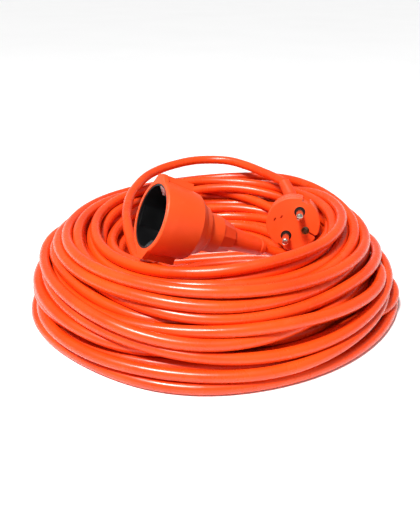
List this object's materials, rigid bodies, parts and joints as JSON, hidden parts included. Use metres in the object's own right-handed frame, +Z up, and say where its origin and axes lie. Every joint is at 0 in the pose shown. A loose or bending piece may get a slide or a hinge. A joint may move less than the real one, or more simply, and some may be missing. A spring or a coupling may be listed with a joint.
{
  "type": "extension cord",
  "caption": "Long round orange extension cord wound in a loose round coil, with an earthed round-pin plug and an earthed trailing socket.",
  "frame": {"origin": "middle of the coil's footprint, on the surface that it lies on", "axes": "+Z up, -Y towards the side where the plug's pins point, -X towards the side where the socket's mouth faces"},
  "size_m": [0.258, 0.258, 0.0992],
  "materials": {
    "orange_cord": "satin PVC jacket with soft narrow highlights",
    "orange_moulding": "fine matte PVC moulding, salmon orange",
    "orange_sleeve": "soft matte PVC moulding",
    "black_insert": "black thermoset plastic, slightly glossy",
    "brass_contact": "brushed brass",
    "spring_steel": "nickel plated spring steel",
    "nickel_pin": "nickel plated brass, polished with fine turning marks",
    "brown_core": "brown core insulation",
    "blue_core": "blue core insulation",
    "green_yellow_core": "green and yellow striped core insulation"
  },
  "bodies": {
    "cord_set": {"cord_coil": "orange_cord", "cord_socket_lead": "orange_cord", "cord_plug_lead": "orange_cord", "socket_body": "orange_moulding", "plug_body": "orange_moulding", "socket_strain_relief": "orange_sleeve", "plug_strain_relief": "orange_sleeve", "socket_insert": "black_insert", "plug_pin_carrier": "black_insert", "socket_contact_block": "black_insert", "socket_back_cover": "black_insert", "socket_live_contact": "brass_contact", "socket_neutral_contact": "brass_contact", "plug_earth_tube": "brass_contact", "socket_earth_strap": "spring_steel", "plug_earth_strap": "spring_steel", "plug_live_pin": "nickel_pin", "plug_neutral_pin": "nickel_pin", "socket_brown_wire": "brown_core", "plug_brown_wire": "brown_core", "socket_blue_wire": "blue_core", "plug_blue_wire": "blue_core", "socket_earth_wire": "green_yellow_core", "plug_earth_wire": "green_yellow_core"},
    "earth_clip_upper": {"socket_earth_clip_upper": "spring_steel"},
    "earth_clip_lower": {"socket_earth_clip_lower": "spring_steel"}
  },
  "joints": [
    {"name": "earth_clip_upper_flex", "type": "hinge", "parent": "cord_set", "child": "earth_clip_upper", "pos_m": [-0.01379, -0.0308, 0.08227], "axis": [-0.4846, 0.8287, -0.2801], "range_deg": [0, 3.2], "stiffness_Nm_per_rad": 1},
    {"name": "earth_clip_lower_flex", "type": "hinge", "parent": "cord_set", "child": "earth_clip_lower", "pos_m": [-0.02402, -0.04855, 0.04745], "axis": [0.4846, -0.8287, 0.2801], "range_deg": [0, 3.2], "stiffness_Nm_per_rad": 1}
  ]
}
